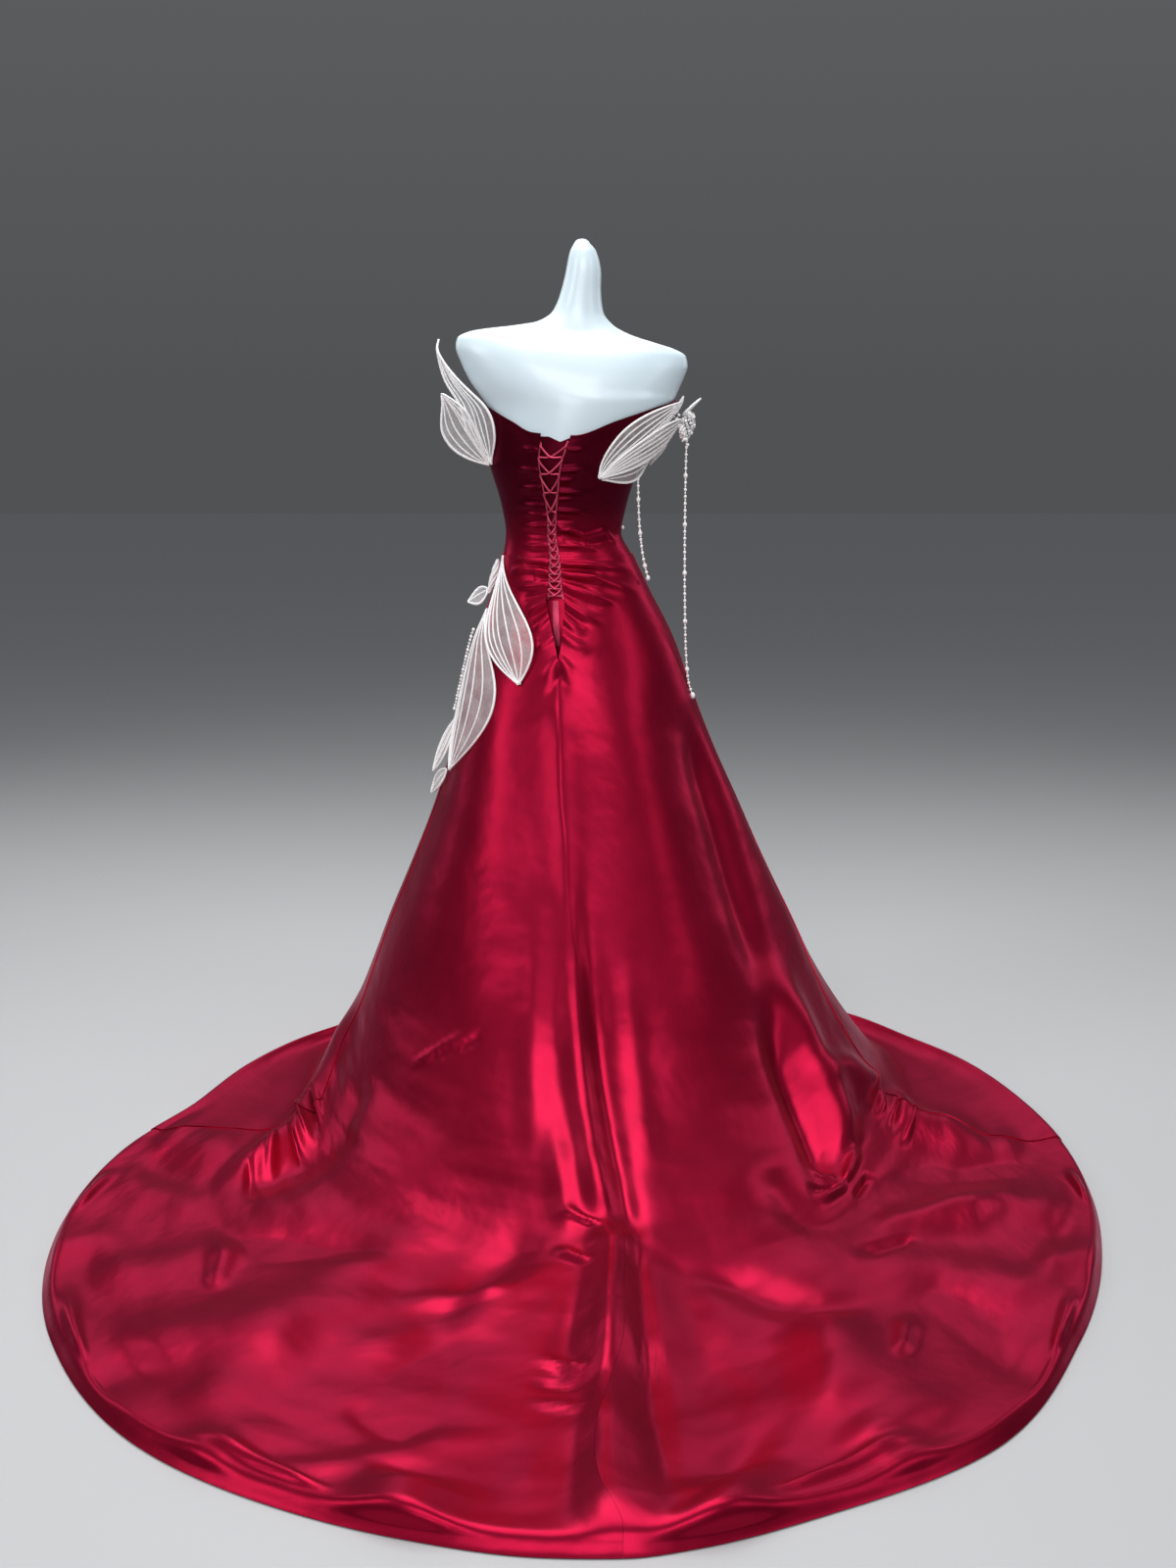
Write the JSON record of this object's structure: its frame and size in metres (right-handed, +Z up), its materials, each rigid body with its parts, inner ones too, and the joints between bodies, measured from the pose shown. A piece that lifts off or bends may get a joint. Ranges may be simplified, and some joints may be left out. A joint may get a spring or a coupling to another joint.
{
  "type": "strapless prom dress on a limbless dress form",
  "caption": "Strapless satin gown with a laced back, wired organza leaves, bead strands and a round train, worn by a limbless dress form on a pole and round base.",
  "frame": {"origin": "on the floor at the middle of the stand's round base, under the pole", "axes": "+Z up; +Y towards the back of the gown, along the train; +X towards the wearer's left"},
  "size_m": [1.6973, 2.1886, 1.594],
  "materials": {
    "satin": "deep crimson satin, glossy",
    "lace_cord": "satin cord",
    "organza": "sheer white organza with white ribs and fine glitter",
    "pearl": "pearl beads and clear stones",
    "form_shell": "glossy white, faintly blue",
    "stand_metal": "brushed"
  },
  "bodies": {
    "root": {"bodice_front": "satin", "bodice_back_left": "satin", "bodice_back_right": "satin", "modesty_panel": "satin", "skirt_front": "satin", "skirt_back_left": "satin", "skirt_back_right": "satin", "loop_tape_left": "lace_cord", "loop_tape_right": "lace_cord", "lace_one": "lace_cord", "lace_two": "lace_cord", "lace_tail": "lace_cord", "shoulder_leaf_tall": "organza", "shoulder_leaf_round": "organza", "shoulder_leaf_broad": "organza", "shoulder_leaf_lower": "organza", "shoulder_leaf_under": "organza", "shoulder_leaf_behind": "organza", "shoulder_spike_inner": "organza", "shoulder_spike_outer": "organza", "shoulder_jewel": "pearl", "strand_outer": "pearl", "strand_inner": "pearl", "hip_twist": "organza", "hip_leaf_small": "organza", "hip_leaf_large": "organza", "hip_leaf_long": "organza", "hip_leaf_low": "organza", "hip_leaf_end": "organza", "hip_garland": "pearl", "form_torso": "form_shell", "form_pole": "stand_metal", "form_base": "stand_metal"}
  },
  "joints": []
}
